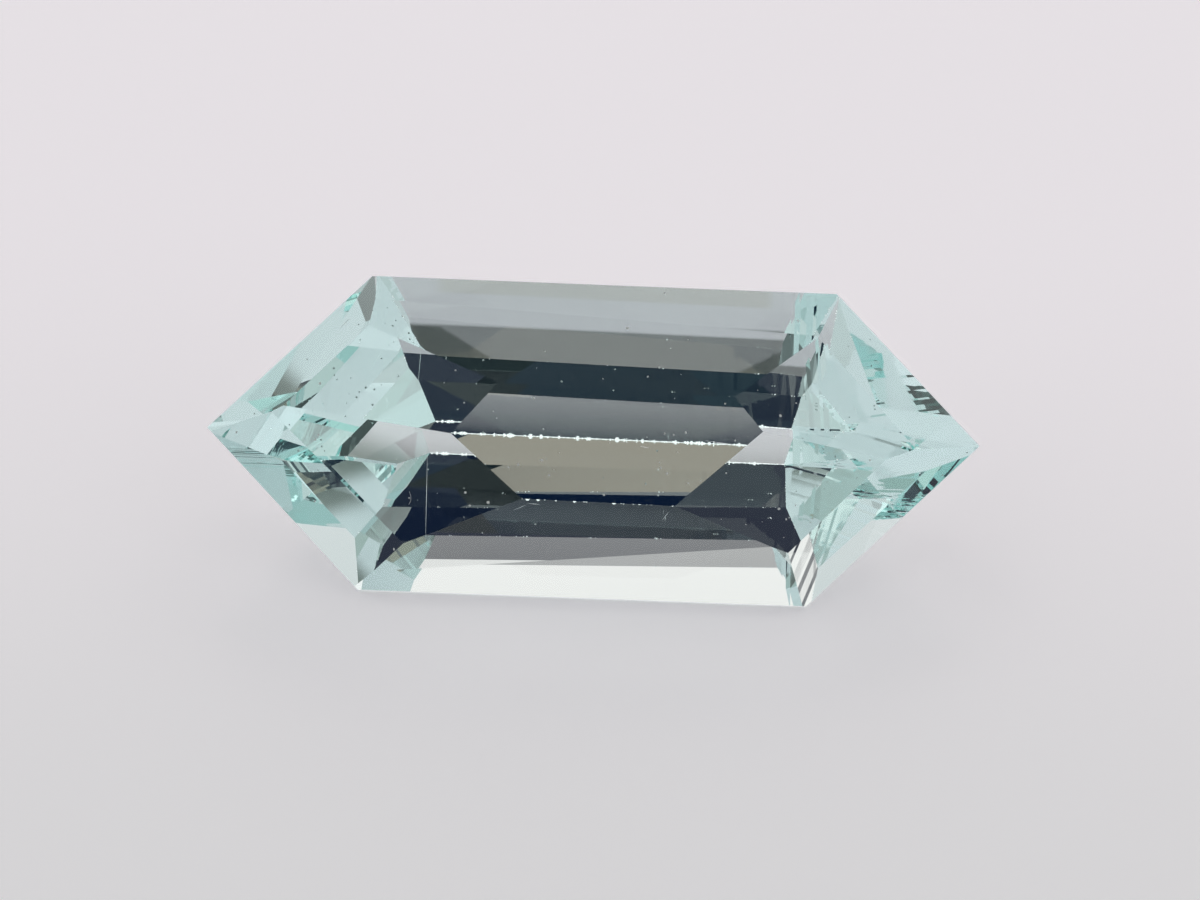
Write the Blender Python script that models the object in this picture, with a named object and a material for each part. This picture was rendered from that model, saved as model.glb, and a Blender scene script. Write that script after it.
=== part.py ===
"""A cut beryl: a long six-sided step cut with a keel below, lying on one facet of its underside.

The stone is ground from a block, one flat facet at a time, as a gem cutter grinds it. It is cut with
its table up, its length along X and its back edge at +Y, then turned forwards onto its front facet.
"""

import math

import bmesh
import bpy
from mathutils import Vector

MM = 0.001

TABLE_HEIGHT = 0.92 * MM  # above the middle of the girdle
TABLE_LEAN = (-0.4, 1.4)  # degrees that the table leans towards +X and towards +Y
GIRDLE = 0.14 * MM  # height of the narrow upright band round the outline

# One entry for each straight edge of the outline, seen from above the table.
#   faces: the direction that the edge faces, in degrees from +X
#   reach: the distance from the stone's middle to the edge, in mm
#   crown, pavilion: the two facets above and below that edge, from the girdle inwards.
#     Each facet is (slope from the girdle's plane in degrees, degrees that it is turned sideways).
#   crown_step, pavilion_step: the width in mm, seen from above, of the facet next to the girdle
EDGES = {
    "back": dict(
        faces=90, reach=2.04, crown=[(32.9, -1.0), (28.1, -0.6)], crown_step=0.47,
        pavilion=[(49.9, -0.8), (43.2, -0.7)], pavilion_step=1.41,
    ),
    "front": dict(
        faces=270, reach=2.04, crown=[(38.8, -0.6), (36.1, -1.2)], crown_step=0.48,
        pavilion=[(47.0, 0.7), (38.7, 0.2)], pavilion_step=1.44,
    ),
    "back_right": dict(
        faces=45, reach=3.61, crown=[(32.6, -1.1), (19.1, -0.2)], crown_step=0.57,
        pavilion=[(50.9, -1.1), (44.0, -0.3)], pavilion_step=1.11,
    ),
    "back_left": dict(
        faces=135, reach=3.53, crown=[(42.4, 0.7), (12.4, 0.8)], crown_step=0.49,
        pavilion=[(48.8, 0.5), (41.0, -1.1)], pavilion_step=1.19,
    ),
    "front_left": dict(
        faces=225, reach=3.54, crown=[(26.8, 1.1), (16.9, 0.4)], crown_step=0.84,
        pavilion=[(55.4, 0.0), (40.6, -0.5)], pavilion_step=0.72,
    ),
    "front_right": dict(
        faces=315, reach=3.43, crown=[(40.1, 0.6), (14.2, 0.0)], crown_step=0.62,
        pavilion=[(52.5, -0.3), (45.9, 0.0)], pavilion_step=0.64,
    ),
}

BERYL_COLOUR = (0.62, 0.86, 0.83, 1.0)
BERYL_IOR = 1.581


def clear_scene():
    for thing in list(bpy.data.objects):
        bpy.data.objects.remove(thing, do_unlink=True)


def beryl_material():
    material = bpy.data.materials.new("beryl")
    material.use_nodes = True
    shader = material.node_tree.nodes["Principled BSDF"]
    shader.inputs["Base Color"].default_value = BERYL_COLOUR
    shader.inputs["Metallic"].default_value = 0.0
    shader.inputs["Roughness"].default_value = 0.02
    shader.inputs["IOR"].default_value = BERYL_IOR
    shader.inputs["Transmission Weight"].default_value = 1.0
    return material


def direction(azimuth, slope, up):
    """Outward normal of a facet that slopes from the girdle's plane; up is 1 above it, -1 below."""
    turn, tilt = math.radians(azimuth), math.radians(slope)
    return Vector((math.cos(turn) * math.sin(tilt), math.sin(turn) * math.sin(tilt), up * math.cos(tilt)))


def grind(stone, point, normal):
    """Takes away what lies beyond the plane and closes the cut with one flat facet."""
    everything = list(stone.verts) + list(stone.edges) + list(stone.faces)
    cut = bmesh.ops.bisect_plane(
        stone, geom=everything, plane_co=point, plane_no=normal, clear_outer=True, dist=1e-9
    )
    rim = [piece for piece in cut["geom_cut"] if isinstance(piece, bmesh.types.BMEdge)]
    if rim:
        bmesh.ops.contextual_create(stone, geom=rim)


def grind_stack(stone, edge, facets, step, up):
    """Grinds the facet next to the girdle, then the one inside it, above or below one edge."""
    outwards = direction(edge["faces"], 90, up)
    corner = outwards * edge["reach"] * MM + Vector((0, 0, up * GIRDLE / 2))
    for slope, sideways in facets:
        grind(stone, corner, direction(edge["faces"] + sideways, slope, up))
        climb = step * MM * math.tan(math.radians(slope))
        corner = corner - outwards * step * MM + Vector((0, 0, up * climb))


def cut_stone():
    stone = bmesh.new()
    bmesh.ops.create_cube(stone, size=20 * MM)
    for edge in EDGES.values():
        outwards = direction(edge["faces"], 90, 1)
        grind(stone, outwards * edge["reach"] * MM, outwards)
        grind_stack(stone, edge, edge["crown"], edge["crown_step"], 1)
        grind_stack(stone, edge, edge["pavilion"], edge["pavilion_step"], -1)
    lean_x, lean_y = (math.sin(math.radians(lean)) for lean in TABLE_LEAN)
    table = Vector((lean_x, lean_y, 1)).normalized()
    grind(stone, table * TABLE_HEIGHT, table)
    return stone


def lay_on_front_facet(stone):
    """Turns the stone forwards until its front lower facet is level, then sets it down on it."""
    front = EDGES["front"]
    slope, sideways = front["pavilion"][0]
    facet = direction(front["faces"] + sideways, slope, -1)
    turn = facet.rotation_difference(Vector((0, 0, -1))).to_matrix().to_4x4()
    bmesh.ops.transform(stone, matrix=turn, verts=stone.verts)
    low = Vector([min(vert.co[axis] for vert in stone.verts) for axis in range(3)])
    high = Vector([max(vert.co[axis] for vert in stone.verts) for axis in range(3)])
    middle = (low + high) / 2
    bmesh.ops.translate(stone, vec=(-middle.x, -middle.y, -low.z), verts=stone.verts)


def beryl_stone():
    stone = cut_stone()
    lay_on_front_facet(stone)
    bmesh.ops.recalc_face_normals(stone, faces=stone.faces)
    mesh = bpy.data.meshes.new("beryl_stone")
    stone.to_mesh(mesh)
    stone.free()
    mesh.materials.append(beryl_material())
    thing = bpy.data.objects.new("beryl_stone", mesh)
    bpy.context.scene.collection.objects.link(thing)
    return thing


clear_scene()
beryl_stone()
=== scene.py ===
import math
import random

import bmesh
import bpy
from mathutils import Matrix, Vector
from mathutils.bvhtree import BVHTree


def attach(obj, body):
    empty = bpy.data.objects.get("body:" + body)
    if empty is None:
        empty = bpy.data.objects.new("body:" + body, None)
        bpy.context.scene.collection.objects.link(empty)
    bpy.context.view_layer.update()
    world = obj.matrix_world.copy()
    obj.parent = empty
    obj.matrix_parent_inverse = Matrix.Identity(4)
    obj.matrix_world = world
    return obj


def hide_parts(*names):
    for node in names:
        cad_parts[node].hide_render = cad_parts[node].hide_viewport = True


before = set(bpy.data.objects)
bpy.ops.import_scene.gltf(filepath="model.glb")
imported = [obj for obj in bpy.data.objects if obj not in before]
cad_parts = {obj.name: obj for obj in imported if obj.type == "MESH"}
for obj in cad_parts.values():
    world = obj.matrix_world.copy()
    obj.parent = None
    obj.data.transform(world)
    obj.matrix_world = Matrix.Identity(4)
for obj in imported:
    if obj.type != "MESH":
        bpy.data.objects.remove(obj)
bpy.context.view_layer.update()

MM = 0.001

# The stone: clear pale green beryl, sawn from a crystal, ground in flat facets on a lap and polished,
# in one piece. Towards its right end the lap has left fine grooves across the lower facets, and wear
# has blunted the keel, nicked the edges beside it and scratched the table and the facets round it.
# The nicks and scratches also glow a little. This painted light stands in for what crushed stone
# scatters.
FACET_JOIN = 0.001 * MM  # corners nearer to each other than this are one corner
FACET_BEND = math.radians(0.5)  # faces that bend less than this where they meet are one facet
TABLE_SIDE = Vector((0.0, -0.72, 0.69))  # the way that the table faces
LOWER_LIMIT = -0.3  # a facet is a lower one if its normal has less than this of the table's way
LOWEST_EDGES = 3  # the keel is the longest of so many edges, counted from the lowest
BERYL_IOR = 1.581
BERYL_TINT = (0.70, 0.93, 0.91, 1.0)
BERYL_DEPTH = 115.0
NICK_ROUGHNESS = 0.8
# Painted glow: the nicked and scratched faces emit this colour, in place of the light that crushed
# stone scatters.
NICK_PAINTED_GLOW = (0.50, 0.54, 0.52)  # the light that crushed stone scatters
# How crushed each kind of mark is, from 0, which is polished, to 1.
# The same share also scales the painted glow of the mark's faces.
MARK_WEAR_AND_GLOW = {"keel nick": 1.0, "edge nick": 0.3, "scratch": 0.3}
GROOVE_WIDTHS = (0.035 * MM, 0.11 * MM)
# How deep the grooves are at a few places along the stone: (mm to the right, mm deep).
GROOVE_DEPTHS = (
    (0.9, 0.0001),
    (2.1, 0.0004),
    (2.5, 0.0014),
    (2.8, 0.0014),
    (3.0, 0.0002),
    (3.3, 0.0),
)
GROOVE_SEED, DEPTH_SEED = 7, 11
CUT_ACCURACY = 1e-9  # metres: a corner that is this near to a cut is on it
PLACE_DIGITS = 5  # places along the stone are told apart by this many digits of a mm
WORN_TO = 3.0 * MM  # an edge is nicked if its middle is nearer than this to the stone's middle
NICK_RUNS_PER_METRE = 2600.0
NICK_RUNS_FULL = 0.75  # where the noise that makes the runs is over this, no nick is left out
LUMP_STRETCH = (0.5, 1.2)
FULL_TURN = 6.28
WIRE_SIDES = 6
SCRATCH_WIDTH = 0.006 * MM
SCRATCH_TIP_RADIUS = 0.0008 * MM
SCRATCH_SIDES = 6
SEEN_FROM = 10  # mm above the table, from where the scratches' places are found
# Each scratch runs from one place to another. A place is mm to the right of the stone's middle
# and mm up its face, as seen square to the table.
SCRATCHES = (
    ((-2.10, -0.33), (-2.09, -1.40)),
    ((-0.98, -1.03), (-0.81, -0.96)),
    ((-0.79, -0.94), (-0.64, -0.95)),
    ((0.93, -0.96), (0.98, -1.14)),
    ((1.01, -0.99), (0.92, -1.10)),
    ((0.62, -0.16), (0.74, -0.18)),
    ((2.18, 0.02), (2.30, 0.02)),
    ((1.45, -0.06), (2.05, -0.13)),
)


def polished_beryl():
    """Clear stone: smooth where polished, frosted with a painted glow where marked as nicked."""
    material = bpy.data.materials.new("polished beryl")
    material.use_nodes = True
    nodes, links = material.node_tree.nodes, material.node_tree.links
    shader = nodes["Principled BSDF"]
    shader.inputs["Base Color"].default_value = (1.0, 1.0, 1.0, 1.0)
    shader.inputs["IOR"].default_value = BERYL_IOR
    shader.inputs["Transmission Weight"].default_value = 1.0
    nicked = nodes.new("ShaderNodeAttribute")
    nicked.attribute_name = "nicked"
    frosting = nodes.new("ShaderNodeMath")
    frosting.operation = "MULTIPLY"
    frosting.inputs[1].default_value = NICK_ROUGHNESS
    links.new(nicked.outputs["Fac"], frosting.inputs[0])
    links.new(frosting.outputs[0], shader.inputs["Roughness"])
    # Painted glow: the nicked faces emit a little light, in step with how crushed they are.
    painted_glow = nodes.new("ShaderNodeVectorMath")
    painted_glow.operation = "SCALE"
    painted_glow.inputs[0].default_value = NICK_PAINTED_GLOW
    links.new(nicked.outputs["Fac"], painted_glow.inputs["Scale"])
    links.new(painted_glow.outputs[0], shader.inputs["Emission Color"])
    shader.inputs["Emission Strength"].default_value = 1.0
    tint = nodes.new("ShaderNodeVolumeAbsorption")
    tint.inputs["Color"].default_value = BERYL_TINT
    tint.inputs["Density"].default_value = BERYL_DEPTH
    links.new(tint.outputs["Volume"], nodes["Material Output"].inputs["Volume"])
    return material


def facetted_copy(node):
    """The CAD node's closed form again, with one whole flat face for each ground facet."""
    stone = bmesh.new()
    for vertex in node.data.vertices:
        stone.verts.new(vertex.co)
    bmesh.ops.remove_doubles(stone, verts=stone.verts, dist=FACET_JOIN)
    bmesh.ops.convex_hull(stone, input=stone.verts)
    bmesh.ops.dissolve_limit(stone, angle_limit=FACET_BEND, verts=stone.verts, edges=stone.edges)
    stone.normal_update()
    return stone


def is_lower(face):
    """Whether this facet is one of those below the girdle."""
    return face.normal.dot(TABLE_SIDE) < LOWER_LIMIT


def lower_edges(stone):
    """The keel, and then the edges near it between two lower facets, each as a pair of points."""
    found = []
    for edge in stone.edges:
        if all(is_lower(face) for face in edge.link_faces):
            first, second = (vertex.co.copy() for vertex in edge.verts)
            found.append((first, second))
    found.sort(key=lambda ends: (ends[0] + ends[1]).dot(TABLE_SIDE))
    keel = max(found[:LOWEST_EDGES], key=lambda ends: (ends[0] - ends[1]).length)
    near = [ends for ends in found if abs(ends[0].x + ends[1].x) / 2 < WORN_TO]
    return [keel], [ends for ends in near if ends is not keel]


def groove_lines():
    """Places along the stone where one lap groove meets the next."""
    chance = random.Random(GROOVE_SEED)
    place, places = GROOVE_DEPTHS[0][0] * MM, []
    while place < GROOVE_DEPTHS[-1][0] * MM:
        places.append(place)
        place += chance.uniform(*GROOVE_WIDTHS)
    return places


def groove_depth(place):
    """How deep the grooves are here, on straight lines between the places that are given."""
    for (start, shallow), (end, deep) in zip(GROOVE_DEPTHS, GROOVE_DEPTHS[1:]):
        if place <= end:
            return shallow + (deep - shallow) * (place - start) / (end - start)
    return GROOVE_DEPTHS[-1][1]


def cut_grooves(stone):
    """Splits the lower facets into narrow strips and tips each strip a very little."""
    lower = [face for face in stone.faces if is_lower(face)]
    for place in groove_lines():
        lower = [face for face in lower if face.is_valid]
        around = {piece for face in lower for piece in (*face.verts, *face.edges, face)}
        cut = bmesh.ops.bisect_plane(
            stone, geom=list(around), plane_co=(place, 0, 0), plane_no=(1, 0, 0), dist=CUT_ACCURACY
        )
        lower = [piece for piece in cut["geom"] if isinstance(piece, bmesh.types.BMFace)]
    stone.normal_update()
    chance = random.Random(DEPTH_SEED)
    lifts = {round(place / MM, PLACE_DIGITS): chance.uniform(-1, 1) for place in groove_lines()}
    for vertex in stone.verts:
        lift = lifts.get(round(vertex.co.x / MM, PLACE_DIGITS))
        if lift is None:
            continue
        vertex.co += vertex.normal * lift * groove_depth(vertex.co.x / MM) * MM


def plain_object(name, mesh, *materials):
    """A new object at the origin that shows this mesh in these materials."""
    for material in materials:
        mesh.materials.append(material)
    thing = bpy.data.objects.new(name, mesh)
    bpy.context.scene.collection.objects.link(thing)
    return thing


def scratch_form(stone):
    """One slim spindle along each scratch, half of it below the stone's surface."""
    surface = BVHTree.FromBMesh(stone)
    up = Vector((0, TABLE_SIDE.z, -TABLE_SIDE.y)).normalized()
    middle = sum((vertex.co for vertex in stone.verts), Vector()) / len(stone.verts)
    form = bmesh.new()
    for ends in SCRATCHES:
        places = []
        for right, rise in ends:
            level = Vector((right * MM, middle.y, middle.z)) + up * rise * MM
            places.append(surface.ray_cast(level + TABLE_SIDE * SEEN_FROM * MM, -TABLE_SIDE)[0])
        along = places[1] - places[0]
        turn = along.to_track_quat("Z", "Y").to_matrix().to_4x4()
        for away, flip in ((-1, math.pi), (1, 0.0)):
            centre = Matrix.Translation((places[0] + places[1]) / 2 + along * away / 4)
            bmesh.ops.create_cone(
                form, cap_ends=True, segments=SCRATCH_SIDES, radius1=SCRATCH_WIDTH / 2,
                radius2=SCRATCH_TIP_RADIUS, depth=along.length / 2,
                matrix=centre @ turn @ Matrix.Rotation(flip, 4, "X"),
            )
    mesh = bpy.data.meshes.new("scratches")
    form.to_mesh(mesh)
    form.free()
    return mesh


class TreeMaker:
    """A geometry node tree with named inputs, and short ways to add nodes to it."""

    def __init__(self, name, inputs, result):
        self.tree = bpy.data.node_groups.new(name, "GeometryNodeTree")
        for socket_name, kind in inputs:
            self.tree.interface.new_socket(
                socket_name, in_out="INPUT", socket_type="NodeSocket" + kind
            )
        self.tree.interface.new_socket(result, in_out="OUTPUT", socket_type="NodeSocketGeometry")
        self.given = self.tree.nodes.new("NodeGroupInput").outputs
        self.result = self.tree.nodes.new("NodeGroupOutput").inputs[result]

    def node(self, kind, settings=None, **values):
        """Adds a node. A value is a constant, or a socket that is linked; _ stands for a space."""
        made = self.tree.nodes.new(kind)
        for name, setting in (settings or {}).items():
            setattr(made, name, setting)
        for name, value in values.items():
            wanted = name.replace("_", " ")
            socket = [item for item in made.inputs if item.enabled and item.name == wanted][0]
            self.feed(value, socket)
        return made

    def feed(self, value, socket):
        if isinstance(value, bpy.types.NodeSocket):
            self.tree.links.new(value, socket)
        else:
            socket.default_value = value

    def chance(self, kind, low, high, step):
        """A random value for each point, from the tree's Seed and this step."""
        seed = self.node("FunctionNodeIntegerMath")
        self.feed(self.given["Seed"], seed.inputs[0])
        self.feed(step, seed.inputs[1])
        made = self.node(
            "FunctionNodeRandomValue", {"data_type": kind}, Min=low, Max=high, Seed=seed.outputs[0]
        )
        return [item for item in made.outputs if item.enabled][0]

    def scaled(self, vector, factor):
        made = self.node("ShaderNodeVectorMath", {"operation": "SCALE"}, Scale=factor)
        self.feed(vector, made.inputs[0])
        return made.outputs[0]

    def finished(self, geometry):
        """Ends the tree with this geometry, made real and in the material given as Finish."""
        real = self.node("GeometryNodeRealizeInstances", Geometry=geometry)
        coated = self.node(
            "GeometryNodeSetMaterial", Geometry=real.outputs["Geometry"], Material=self.given["Finish"]
        )
        self.feed(coated.outputs["Geometry"], self.result)
        return self.tree


def lumps_at_points():
    """Small lumps of uneven size and shape, one at each point of a share of the points."""
    maker = TreeMaker(
        "lumps at points",
        (("Points", "Geometry"), ("Smallest", "Float"), ("Largest", "Float"), ("Share", "Float"),
         ("Seed", "Int"), ("Finish", "Material")),
        "Lumps",
    )
    given = maker.given
    ball = maker.node("GeometryNodeMeshIcoSphere", Radius=1.0, Subdivisions=1)
    kept = maker.node("FunctionNodeCompare", {"data_type": "FLOAT", "operation": "LESS_THAN"})
    maker.feed(maker.chance("FLOAT", 0.0, 1.0, 1), kept.inputs[0])
    maker.feed(given["Share"], kept.inputs[1])
    # Squaring the chance makes small lumps common and large ones rare.
    squared = maker.node("ShaderNodeMath", {"operation": "POWER"})
    maker.feed(maker.chance("FLOAT", 0.0, 1.0, 2), squared.inputs[0])
    maker.feed(2.0, squared.inputs[1])
    size = maker.node(
        "ShaderNodeMapRange", Value=squared.outputs[0], To_Min=given["Smallest"],
        To_Max=given["Largest"],
    )
    least, most = ((share, share, share) for share in LUMP_STRETCH)
    stretch = maker.chance("FLOAT_VECTOR", least, most, 3)
    placed = maker.node(
        "GeometryNodeInstanceOnPoints", Points=given["Points"], Instance=ball.outputs["Mesh"],
        Selection=kept.outputs[0], Scale=maker.scaled(stretch, size.outputs[0]),
        Rotation=maker.chance("FLOAT_VECTOR", (0, 0, 0), (FULL_TURN, FULL_TURN, FULL_TURN), 4),
    )
    return maker.finished(placed.outputs["Instances"])


def nicks_along_edges(lumps):
    """Lumps along a wire. Each one, cut away, leaves a nick in the edge that the wire follows."""
    maker = TreeMaker(
        "nicks along edges",
        (("Wire", "Geometry"), ("Spacing", "Float"), ("Scatter", "Float"), ("Smallest", "Float"),
         ("Largest", "Float"), ("Whole Share", "Float"), ("Seed", "Int"), ("Finish", "Material")),
        "Lumps",
    )
    given = maker.given
    line = maker.node("GeometryNodeMeshToCurve", Mesh=given["Wire"])
    points = maker.node(
        "GeometryNodeCurveToPoints", {"mode": "LENGTH"}, Curve=line.outputs["Curve"],
        Length=given["Spacing"],
    )
    stray = maker.chance("FLOAT_VECTOR", (-1, -1, -1), (1, 1, 1), 9)
    moved = maker.node(
        "GeometryNodeSetPosition", Geometry=points.outputs["Points"],
        Offset=maker.scaled(stray, given["Scatter"]),
    )
    # Nicks come in runs: where the noise is below the whole share, the edge is unhurt.
    runs = maker.node("ShaderNodeTexNoise", Scale=NICK_RUNS_PER_METRE)
    share = maker.node(
        "ShaderNodeMapRange", Value=runs.outputs[0], From_Min=given["Whole Share"],
        From_Max=NICK_RUNS_FULL,
    )
    made = maker.node(
        "GeometryNodeGroup", {"node_tree": lumps}, Points=moved.outputs["Geometry"],
        Share=share.outputs[0],
        **{name: given[name] for name in ("Smallest", "Largest", "Seed", "Finish")},
    )
    maker.feed(made.outputs["Lumps"], maker.result)
    return maker.tree


def worn_edges():
    """A thin, uneven bar along a wire. Cut away, it leaves the edge blunt along its whole length."""
    maker = TreeMaker(
        "worn edges",
        (("Wire", "Geometry"), ("Step", "Float"), ("Thinnest", "Float"), ("Thickest", "Float"),
         ("Seed", "Int"), ("Finish", "Material")),
        "Bars",
    )
    given = maker.given
    line = maker.node("GeometryNodeMeshToCurve", Mesh=given["Wire"])
    stepped = maker.node(
        "GeometryNodeResampleCurve", {"mode": "LENGTH"}, Curve=line.outputs["Curve"],
        Length=given["Step"],
    )
    section = maker.node("GeometryNodeCurvePrimitiveCircle", Resolution=WIRE_SIDES, Radius=1.0)
    bars = maker.node(
        "GeometryNodeCurveToMesh", Curve=stepped.outputs["Curve"],
        Profile_Curve=section.outputs["Curve"],
        Scale=maker.chance("FLOAT", given["Thinnest"], given["Thickest"], 5), Fill_Caps=True,
    )
    return maker.finished(bars.outputs["Mesh"])


def grown(thing, tree, **values):
    """Runs the tree, in which _ stands for a space, on this object, which keeps the plain result."""
    modifier = thing.modifiers.new("grow", "NODES")
    modifier.node_group = tree
    for item in tree.interface.items_tree:
        name = item.name.replace(" ", "_")
        if item.in_out == "INPUT" and name in values:
            modifier[item.identifier] = values[name]
    return flattened(thing)


def flattened(thing):
    """Gives the object the mesh that its modifiers make, and drops them and any empty slot."""
    bpy.context.view_layer.update()
    graph = bpy.context.evaluated_depsgraph_get()
    mesh = bpy.data.meshes.new_from_object(thing.evaluated_get(graph))
    thing.modifiers.clear()
    thing.data = mesh
    for place in reversed(range(len(mesh.materials))):
        if mesh.materials[place] is None:
            mesh.materials.pop(index=place)
    return thing


def edge_cutter(name, tree, lines, **values):
    """What is cut out of these edges, in the material of this name."""
    wire = bpy.data.meshes.new(name)
    points = [point for ends in lines for point in ends]
    pairs = [(2 * place, 2 * place + 1) for place in range(len(lines))]
    wire.from_pydata(points, pairs, [])
    return grown(plain_object(name, wire), tree, Finish=finishes[name], **values)


def cut_away(stone, cutter):
    """Cuts the cutter out of the stone. The cut faces take the cutter's material."""
    cut = stone.modifiers.new("cut", "BOOLEAN")
    cut.operation = "DIFFERENCE"
    cut.solver = "EXACT"
    cut.use_self = True
    cut.material_mode = "TRANSFER"
    cut.object = cutter
    flattened(stone)
    bpy.data.objects.remove(cutter, do_unlink=True)


def mark_nicks(mesh):
    """Gives every face the first material, and notes in an attribute how crushed each face is."""
    # The same value also sets the painted glow of each face.
    crushed = [MARK_WEAR_AND_GLOW.get(mesh.materials[face.material_index].name, 0.0) for face in mesh.polygons]
    mesh.attributes.new("nicked", "FLOAT", "FACE").data.foreach_set("value", crushed)
    mesh.polygons.foreach_set("material_index", [0] * len(mesh.polygons))
    while len(mesh.materials) > 1:
        mesh.materials.pop()


finishes = {name: bpy.data.materials.new(name) for name in MARK_WEAR_AND_GLOW}
lump_tree = lumps_at_points()
nick_tree = nicks_along_edges(lump_tree)
stone_form = facetted_copy(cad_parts["beryl_stone"])
keel, other_edges = lower_edges(stone_form)
scratches = scratch_form(stone_form)
polished_mesh = bpy.data.meshes.new("polished stone")
stone_form.to_mesh(polished_mesh)
cut_grooves(stone_form)
stone_mesh = bpy.data.meshes.new("cut_beryl")
stone_form.to_mesh(stone_mesh)
stone_form.free()
cut_beryl = plain_object("cut_beryl", stone_mesh, polished_beryl())
cut_away(cut_beryl, edge_cutter(
    "keel nick", worn_edges(), keel,
    Step=0.022 * MM, Thinnest=0.0035 * MM, Thickest=0.0105 * MM, Seed=2,
))
cut_away(cut_beryl, edge_cutter(
    "keel nick", nick_tree, keel,
    Spacing=0.009 * MM, Scatter=0.017 * MM, Smallest=0.003 * MM, Largest=0.030 * MM, Whole_Share=0.2,
    Seed=3,
))
cut_away(cut_beryl, edge_cutter(
    "edge nick", nick_tree, other_edges,
    Spacing=0.014 * MM, Scatter=0.008 * MM, Smallest=0.002 * MM, Largest=0.012 * MM, Whole_Share=0.49,
    Seed=5,
))
cut_away(cut_beryl, plain_object("scratches", scratches, finishes["scratch"]))
mark_nicks(cut_beryl.data)
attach(cut_beryl, "root")
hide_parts("beryl_stone")

# Dust: specks of pale grit that have settled on the faces that look up, most of them on the front
# ones, and a few short threads of lint. They lie loose on the stone.
DUST_COLOUR = (0.80, 0.82, 0.80, 1.0)
DUST_ROUGHNESS = 0.8
DUST_SEED = 4
LEAST_UPWARD = 0.2  # a face gathers dust if the upward part of its normal is more than this
SPECKS_PER_SQUARE_MM = 3.2
SPECK_RADII = (0.005 * MM, 0.024 * MM)
# How much more crowded the specks are at the front of the stone than at its back: (place, share).
CROWDED_FRONT, CROWDED_BACK = (-1.5 * MM, 3.0), (-0.2 * MM, 0.6)
# And over the stone's middle than at its ends: (place to either side, share).
CROWDED_MIDDLE, CROWDED_ENDS = (2.2 * MM, 1.0), (3.0 * MM, 0.1)
LINT_PER_SQUARE_MM = 0.16
LINT_LENGTH = 0.13 * MM
LINT_SHORTEST, LINT_LONGEST = 0.4, 1.3  # shares of that length
LINT_RADIUS = 0.0022 * MM
LINT_SIDES, LINT_STEPS = 5, 10
# The bend of a thread that is 1 long: its ends, and the point that it bends towards.
LINT_START, LINT_BEND, LINT_END = (-0.5, 0, 0.02), (0.1, 0.7, 0.06), (0.5, -0.1, 0.02)


def dust_material():
    material = bpy.data.materials.new("dust")
    material.use_nodes = True
    shader = material.node_tree.nodes["Principled BSDF"]
    shader.inputs["Base Color"].default_value = DUST_COLOUR
    shader.inputs["Roughness"].default_value = DUST_ROUGHNESS
    return material


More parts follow.
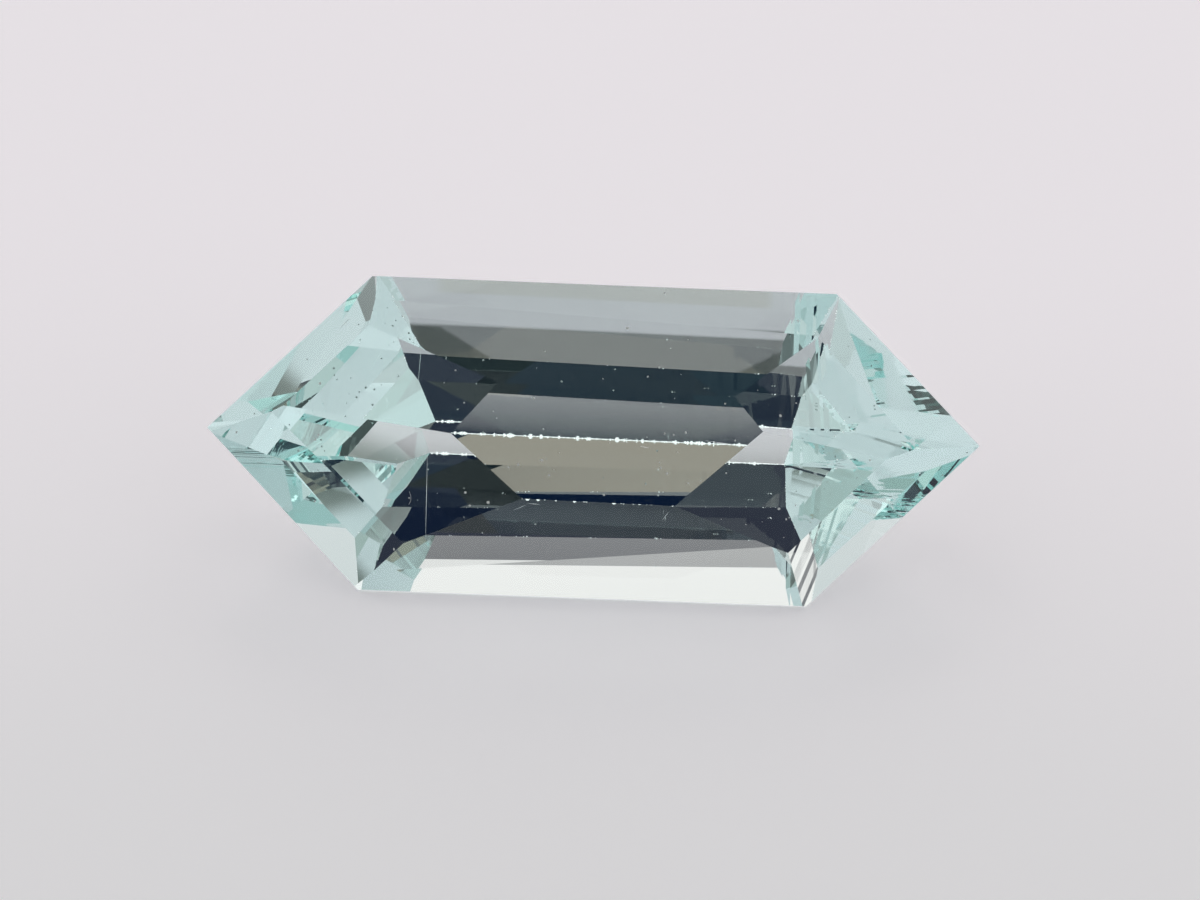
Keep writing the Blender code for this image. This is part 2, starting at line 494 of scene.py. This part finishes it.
def settled_dust(lumps):
    """Specks and bent threads on the faces of a surface that look up."""
    maker = TreeMaker(
        "settled dust",
        (("Surface", "Geometry"), ("Specks", "Float"), ("Threads", "Float"), ("Smallest", "Float"),
         ("Largest", "Float"), ("Thread Length", "Float"), ("Thread Radius", "Float"),
         ("Seed", "Int"), ("Finish", "Material")),
        "Dust",
    )
    given = maker.given
    faces = maker.node(
        "ShaderNodeSeparateXYZ", Vector=maker.node("GeometryNodeInputNormal").outputs[0]
    )
    upward = maker.node("FunctionNodeCompare", {"data_type": "FLOAT", "operation": "GREATER_THAN"})
    maker.feed(faces.outputs["Z"], upward.inputs[0])
    maker.feed(LEAST_UPWARD, upward.inputs[1])
    place = maker.node(
        "ShaderNodeSeparateXYZ", Vector=maker.node("GeometryNodeInputPosition").outputs[0]
    )
    outward = maker.node("ShaderNodeMath", {"operation": "ABSOLUTE"})
    maker.feed(place.outputs["X"], outward.inputs[0])
    crowding = given["Specks"]
    for way, (start, first), (end, last) in (
        (place.outputs["Y"], CROWDED_FRONT, CROWDED_BACK),
        (outward.outputs[0], CROWDED_MIDDLE, CROWDED_ENDS),
    ):
        share = maker.node(
            "ShaderNodeMapRange", Value=way, From_Min=start, From_Max=end, To_Min=first, To_Max=last
        )
        product = maker.node("ShaderNodeMath", {"operation": "MULTIPLY"})
        maker.feed(share.outputs[0], product.inputs[0])
        maker.feed(crowding, product.inputs[1])
        crowding = product.outputs[0]
    spots = maker.node(
        "GeometryNodeDistributePointsOnFaces", Mesh=given["Surface"], Selection=upward.outputs[0],
        Density=crowding, Seed=given["Seed"],
    )
    specks = maker.node(
        "GeometryNodeGroup", {"node_tree": lumps}, Points=spots.outputs["Points"], Share=1.0,
        **{name: given[name] for name in ("Smallest", "Largest", "Seed", "Finish")},
    )
    thread_spots = maker.node(
        "GeometryNodeDistributePointsOnFaces", Mesh=given["Surface"], Selection=upward.outputs[0],
        Density=given["Threads"], Seed=given["Seed"],
    )
    bend = maker.node(
        "GeometryNodeCurveQuadraticBezier", Resolution=LINT_STEPS, Start=LINT_START,
        Middle=LINT_BEND, End=LINT_END,
    )
    spin = maker.node(
        "FunctionNodeRotateRotation", {"rotation_space": "LOCAL"},
        Rotation=thread_spots.outputs["Rotation"],
        Rotate_By=maker.chance("FLOAT_VECTOR", (0, 0, 0), (0, 0, FULL_TURN), 21),
    )
    # A thread's bend turns to either side, so its breadth is a share between -1 and 1.
    stretch = maker.chance("FLOAT_VECTOR", (LINT_SHORTEST, -1, 1), (LINT_LONGEST, 1, 1), 22)
    threads = maker.node(
        "GeometryNodeInstanceOnPoints", Points=thread_spots.outputs["Points"],
        Instance=bend.outputs["Curve"], Rotation=spin.outputs[0],
        Scale=maker.scaled(stretch, given["Thread Length"]),
    )
    real_threads = maker.node("GeometryNodeRealizeInstances", Geometry=threads.outputs["Instances"])
    round_wire = maker.node(
        "GeometryNodeCurvePrimitiveCircle", Resolution=LINT_SIDES, Radius=given["Thread Radius"]
    )
    tubes = maker.node(
        "GeometryNodeCurveToMesh", Curve=real_threads.outputs["Geometry"],
        Profile_Curve=round_wire.outputs["Curve"], Fill_Caps=True,
    )
    both = maker.node("GeometryNodeJoinGeometry")
    maker.feed(specks.outputs["Lumps"], both.inputs["Geometry"])
    maker.feed(tubes.outputs["Mesh"], both.inputs["Geometry"])
    return maker.finished(both.outputs["Geometry"])


dust = grown(
    plain_object("dust", polished_mesh), settled_dust(lump_tree),
    Specks=SPECKS_PER_SQUARE_MM / MM**2, Smallest=SPECK_RADII[0], Largest=SPECK_RADII[1],
    Threads=LINT_PER_SQUARE_MM / MM**2, Thread_Length=LINT_LENGTH, Thread_Radius=LINT_RADIUS,
    Seed=DUST_SEED, Finish=dust_material(),
)
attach(dust, "root")

# The surface that the stone lies on: a wide pale sheet with a soft gloss. It is lit from below, a
# little more at the back. Under the back of the stone a strip has painted shade, a darker colour and
# no glow, and a painted patch of light on its middle stands for light that comes through the table.
FLOOR_HALF = 300 * MM
FLOOR_HEIGHT = -0.004 * MM
FLOOR_ROUGHNESS = 0.3
FLOOR_COLOUR = (0.80, 0.80, 0.79)
# Painted shade: the colour of the strip under the back of the stone.
PAINTED_SHADE_COLOUR = (0.47, 0.47, 0.43)
GLOW_FRONT = (0.285, 0.28, 0.295)
GLOW_BACK = (0.375, 0.345, 0.378)
GLOW_CHANGES = 8 * MM  # the glow changes over this distance to the front and back of the stone
# Where the painted shade strip's ends, front and back lie, and how soft each of these edges is.
UNLIT_ENDS, UNLIT_ENDS_EDGE = 2.9 * MM, 0.3 * MM
UNLIT_FRONT, UNLIT_FRONT_EDGE = 0.60 * MM, 0.04 * MM
UNLIT_BACK, UNLIT_BACK_EDGE = 1.58 * MM, 0.25 * MM
# The painted patch of light in the strip reaches this far to either side of its middle, and less far
# to the back, by the taper. It has this share of the light of the sheet outside.
PAINTED_PATCH_MIDDLE, PAINTED_PATCH_TAPER = 0.25 * MM, 1.7
PAINTED_PATCH_REACH, PAINTED_PATCH_EDGE = 3.45 * MM, 0.06 * MM
PAINTED_PATCH_SHARE = 0.29
# Painted shade: the glow is warmer and a little darker where the stone lies on the sheet: the
# front, back and ends of that place, and what it leaves of each colour.
WARM_SHADE_FRONT, WARM_SHADE_FRONT_EDGE = -1.3 * MM, 0.1 * MM
WARM_SHADE_BACK, WARM_SHADE_BACK_EDGE = 0.20 * MM, 0.02 * MM
WARM_SHADE_ENDS, WARM_SHADE_ENDS_EDGE = 2.2 * MM, 0.1 * MM
WARM_SHADE_SHARE = (0.88, 0.86, 0.78)


class ShadeMaker:
    """Short ways to add nodes for numbers and colours to a shader tree."""

    def __init__(self, tree):
        self.nodes, self.links = tree.nodes, tree.links

    def feed(self, value, socket):
        """Links a socket to this one, or sets this one to a number or a colour."""
        if isinstance(value, bpy.types.NodeSocket):
            self.links.new(value, socket)
        elif isinstance(value, tuple):
            socket.default_value = (*value, 1.0)
        else:
            socket.default_value = value

    def calculate(self, operation, *values):
        node = self.nodes.new("ShaderNodeMath")
        node.operation = operation
        for socket, value in zip(node.inputs, values):
            self.feed(value, socket)
        return node.outputs[0]

    def past(self, value, middle, edge):
        """0 below the middle and 1 above it, with a soft edge this wide on each side."""
        node = self.nodes.new("ShaderNodeMapRange")
        node.interpolation_type = "SMOOTHSTEP"
        self.feed(value, node.inputs["Value"])
        self.feed(middle - edge, node.inputs["From Min"])
        self.feed(middle + edge, node.inputs["From Max"])
        return node.outputs["Result"]

    def short_of(self, value, middle, edge):
        """1 below the middle and 0 above it, with a soft edge this wide on each side."""
        return self.calculate("SUBTRACT", 1.0, self.past(value, middle, edge))

    def blend(self, share, first, second, how="MIX"):
        """The first colour at 0, and the second, or the two multiplied, at 1."""
        node = self.nodes.new("ShaderNodeMix")
        node.data_type = "RGBA"
        node.blend_type = how
        self.feed(share, node.inputs["Factor"])
        for name, colour in (("A", first), ("B", second)):
            socket = [item for item in node.inputs if item.enabled and item.name == name][0]
            self.feed(colour, socket)
        return [item for item in node.outputs if item.enabled][0]


def floor_material():
    material = bpy.data.materials.new("pale sheet")
    material.use_nodes = True
    maker = ShadeMaker(material.node_tree)
    shader = maker.nodes["Principled BSDF"]
    shader.inputs["Roughness"].default_value = FLOOR_ROUGHNESS
    shader.inputs["Emission Strength"].default_value = 1.0
    place = maker.nodes.new("ShaderNodeSeparateXYZ")
    maker.feed(maker.nodes.new("ShaderNodeTexCoord").outputs["Object"], place.inputs["Vector"])
    right, back = place.outputs["X"], place.outputs["Y"]
    aside = maker.calculate("ABSOLUTE", right)

    # Painted shade: lit is 0 on the strip under the back of the stone, where the colour is darker and
    # there is no glow, and the painted patch of light lifts it in the strip's middle.
    beyond_ends = maker.past(aside, UNLIT_ENDS, UNLIT_ENDS_EDGE)
    before = maker.short_of(back, UNLIT_FRONT, UNLIT_FRONT_EDGE)
    behind = maker.past(back, UNLIT_BACK, UNLIT_BACK_EDGE)
    lit = maker.calculate("MAXIMUM", beyond_ends, maker.calculate("MAXIMUM", before, behind))
    # Painted patch of light, standing for light that comes through the table.
    from_middle = maker.calculate("ABSOLUTE", maker.calculate("SUBTRACT", right, PAINTED_PATCH_MIDDLE))
    reach = maker.calculate("ADD", from_middle, maker.calculate("MULTIPLY", back, PAINTED_PATCH_TAPER))
    patch = maker.short_of(reach, PAINTED_PATCH_REACH, PAINTED_PATCH_EDGE)
    lit = maker.calculate("MAXIMUM", lit, maker.calculate("MULTIPLY", patch, PAINTED_PATCH_SHARE))
    maker.feed(maker.blend(lit, PAINTED_SHADE_COLOUR, FLOOR_COLOUR), shader.inputs["Base Color"])

    glow = maker.blend(maker.past(back, 0.0, GLOW_CHANGES), GLOW_FRONT, GLOW_BACK)
    # Painted shade: the glow is warmer and a little darker where the stone lies on the sheet.
    painted_warm_shade = maker.calculate(
        "MULTIPLY", maker.short_of(back, WARM_SHADE_BACK, WARM_SHADE_BACK_EDGE),
        maker.calculate(
            "SUBTRACT", maker.past(back, WARM_SHADE_FRONT, WARM_SHADE_FRONT_EDGE),
            maker.past(aside, WARM_SHADE_ENDS, WARM_SHADE_ENDS_EDGE),
        ),
    )
    masked = maker.nodes.new("ShaderNodeVectorMath")
    masked.operation = "SCALE"
    maker.feed(maker.blend(painted_warm_shade, glow, WARM_SHADE_SHARE, "MULTIPLY"), masked.inputs[0])
    maker.feed(lit, masked.inputs["Scale"])
    maker.feed(masked.outputs[0], shader.inputs["Emission Color"])
    return material


floor_mesh = bpy.data.meshes.new("floor")
corners = ((-FLOOR_HALF, -FLOOR_HALF), (FLOOR_HALF, -FLOOR_HALF), (FLOOR_HALF, FLOOR_HALF),
           (-FLOOR_HALF, FLOOR_HALF))
floor_mesh.from_pydata([(x, y, FLOOR_HEIGHT) for x, y in corners], [], [range(len(corners))])
plain_object("floor", floor_mesh, floor_material())

# The studio: pale walls all round, a dark banner that hangs in an arch from the front over the top,
# a lamp in its middle, and in its front end a beige card with a round black lens in it.
# Angles are in degrees: `side` is measured to the right of the middle, and `climb` goes from the
# front horizon (0) over the top (90) to the far horizon (180).
SIDE_WALL = (0.49, 0.52, 0.53)
SIDE_WALL_LOW = (0.67, 0.68, 0.68)
FAR_WALL = (1.00, 0.94, 0.92)
FAR_WALL_LOW = (1.15, 1.14, 1.16)
FRONT_WALL = (0.49, 0.478, 0.46)
# Where the light of one wall goes over into the next: (where, how far to each side of that).
LOW_TO_HIGH = (15, 12)  # above the floor
FRONT_TO_SIDE = (25, 12)  # to either side, low at the front
FRONT_TO_FAR = (100, 25)  # up the climb
MIDDLE_TO_SIDE = (50, 20)  # to either side, everywhere
BANNER = (0.003, 0.009, 0.028)
BANNER_HALF, BANNER_EDGE = 16.7, 1.6
BANNER_FROM, BANNER_FROM_EDGE = 9.0, 3.0
BANNER_TO, BANNER_TO_EDGE = 139.9, 6.0
LAMP = (0.58, 0.58, 0.58)
LAMP_RADIUS, LAMP_EDGE = 12.0, 3.0
# The card is an ellipse with its bottom and top cut off. Its edge is a share of its radius.
CARD = (0.375, 0.312, 0.262)
CARD_SIDE, CARD_CLIMB = 0.0, 37.7
CARD_HALF_WIDTH, CARD_HALF_HEIGHT, CARD_EDGE = 5.5, 23.8, 0.39
CARD_BOTTOM, CARD_TOP, CARD_CUT_EDGE = 19.0, 49.0, 1.0
# The lens is bluer and less dark in its left half.
LENS_LEFT = (0.010, 0.022, 0.036)
LENS_RIGHT = (0.002, 0.006, 0.008)
LEFT_TO_RIGHT = (1.5, 4)
LENS_SIDE, LENS_CLIMB, LENS_RADIUS, LENS_EDGE = -0.9, 33.4, 10.3, 1.4
# The dark things that hang at the sides: (degrees to the right of the far wall's middle, degrees
# above the floor, half width, half height, brightness). Their edge is a share of their radius.
HANGINGS = (
    (-111, 41, 17, 5, 0.39),
    (-134, 3, 14, 7, 0.30),
    (93, 23, 13, 6, 0.24),
    (54, 51, 19, 5, 0.43),
    (-43, 9, 9, 6, 0.16),
    (178, 13, 7, 9, 0.17),
    (128, 64, 12, 10, 0.09),
    (-153, 22, 9, 9, 0.06),
    (-137, 62, 10, 8, 0.08),
)
HANGING_EDGE = 0.3


def studio_world():
    world = bpy.data.worlds.new("studio")
    world.use_nodes = True
    maker = ShadeMaker(world.node_tree)
    calculate, past, short_of, blend = maker.calculate, maker.past, maker.short_of, maker.blend

    def distance(side_way, climb_way):
        squares = (calculate("MULTIPLY", way, way) for way in (side_way, climb_way))
        return calculate("SQRT", calculate("ADD", *squares))

    place = maker.nodes.new("ShaderNodeTexCoord")
    axes = maker.nodes.new("ShaderNodeSeparateXYZ")
    maker.feed(place.outputs["Generated"], axes.inputs["Vector"])
    x, y, z = (axes.outputs[name] for name in ("X", "Y", "Z"))
    degrees = 180 / math.pi
    side = calculate("MULTIPLY", calculate("ARCSINE", x), degrees)
    aside = calculate("ABSOLUTE", side)
    front = calculate("MULTIPLY", y, -1.0)
    climb = calculate("MULTIPLY", calculate("ARCTAN2", z, front), degrees)
    height = calculate("MULTIPLY", calculate("ARCSINE", z), degrees)

    high = past(height, *LOW_TO_HIGH)
    side_wall = blend(high, SIDE_WALL_LOW, SIDE_WALL)
    far_wall = blend(high, FAR_WALL_LOW, FAR_WALL)
    front_wall = blend(past(aside, *FRONT_TO_SIDE), FRONT_WALL, side_wall)
    middle_walls = blend(past(climb, *FRONT_TO_FAR), front_wall, far_wall)
    walls = blend(past(aside, *MIDDLE_TO_SIDE), middle_walls, side_wall)
    azimuth = calculate("MULTIPLY", calculate("ARCTAN2", x, y), degrees)
    flat = calculate("SQRT", calculate("SUBTRACT", 1.0, calculate("MULTIPLY", z, z)))
    for turn, rise, half_width, half_height, brightness in HANGINGS:
        apart = calculate("WRAP", calculate("SUBTRACT", azimuth, turn), 180, -180)
        across = calculate("DIVIDE", calculate("MULTIPLY", apart, flat), half_width)
        along = calculate("DIVIDE", calculate("SUBTRACT", height, rise), half_height)
        shade = (brightness, brightness, brightness)
        walls = blend(past(distance(across, along), 1.0, HANGING_EDGE), shade, walls)
    inside = short_of(aside, BANNER_HALF, BANNER_EDGE)
    before = short_of(climb, BANNER_TO, BANNER_TO_EDGE)
    banner = calculate("MULTIPLY", past(climb, BANNER_FROM, BANNER_FROM_EDGE), before)
    light = blend(calculate("MULTIPLY", inside, banner), walls, BANNER)
    light = blend(past(height, 90 - LAMP_RADIUS, LAMP_EDGE), light, LAMP)
    across = calculate("DIVIDE", calculate("SUBTRACT", side, CARD_SIDE), CARD_HALF_WIDTH)
    along = calculate("DIVIDE", calculate("SUBTRACT", climb, CARD_CLIMB), CARD_HALF_HEIGHT)
    between_cuts = calculate(
        "SUBTRACT", past(climb, CARD_BOTTOM, CARD_CUT_EDGE), past(climb, CARD_TOP, CARD_CUT_EDGE)
    )
    beyond_cuts = calculate("SUBTRACT", 1.0, between_cuts)
    beyond_card = calculate("MAXIMUM", past(distance(across, along), 1.0, CARD_EDGE), beyond_cuts)
    light = blend(beyond_card, CARD, light)
    across = calculate("SUBTRACT", side, LENS_SIDE)
    along = calculate("SUBTRACT", climb, LENS_CLIMB)
    lens = blend(past(side, *LEFT_TO_RIGHT), LENS_LEFT, LENS_RIGHT)
    light = blend(past(distance(across, along), LENS_RADIUS, LENS_EDGE), lens, light)
    maker.feed(light, maker.nodes["Background"].inputs["Color"])
    return world


bpy.context.scene.world = studio_world()

# The camera: a macro lens on a stand in front of the stone, which looks down on the table from far
# enough away that its lines hardly converge. Angles are in degrees.
CAMERA_DISTANCE = 81.1 * MM
CAMERA_ELEVATION = 35.99
CAMERA_AZIMUTH = 1.06
CAMERA_ROLL = 1.26
AIM = Vector((0.093, -0.194, 1.454)) * MM
IMAGE_WIDTH = 1200  # pixels
PIXEL = 0.01292 * MM  # what a pixel spans at the place that the camera aims at
SENSOR_WIDTH = 36.0
NEAREST = 1 * MM
# Light goes back and forth many times in a cut stone before it comes out again.
BOUNCES = 24

scene = bpy.context.scene
scene.view_settings.view_transform = "Standard"
scene.cycles.max_bounces = BOUNCES
scene.cycles.glossy_bounces = BOUNCES
scene.cycles.transmission_bounces = BOUNCES
camera_data = bpy.data.cameras.new("camera")
camera_data.sensor_width = SENSOR_WIDTH
camera_data.lens = SENSOR_WIDTH * CAMERA_DISTANCE / (IMAGE_WIDTH * PIXEL)
camera_data.clip_start = NEAREST
camera = bpy.data.objects.new("camera", camera_data)
scene.collection.objects.link(camera)
elevation, azimuth = math.radians(CAMERA_ELEVATION), math.radians(CAMERA_AZIMUTH)
outward = math.cos(elevation)
back = Vector((math.sin(azimuth) * outward, -math.cos(azimuth) * outward, math.sin(elevation)))
camera.location = AIM + back * CAMERA_DISTANCE
roll = Matrix.Rotation(math.radians(CAMERA_ROLL), 4, "Z").to_quaternion()
camera.rotation_mode = "QUATERNION"
camera.rotation_quaternion = back.to_track_quat("Z", "Y") @ roll
scene.camera = camera
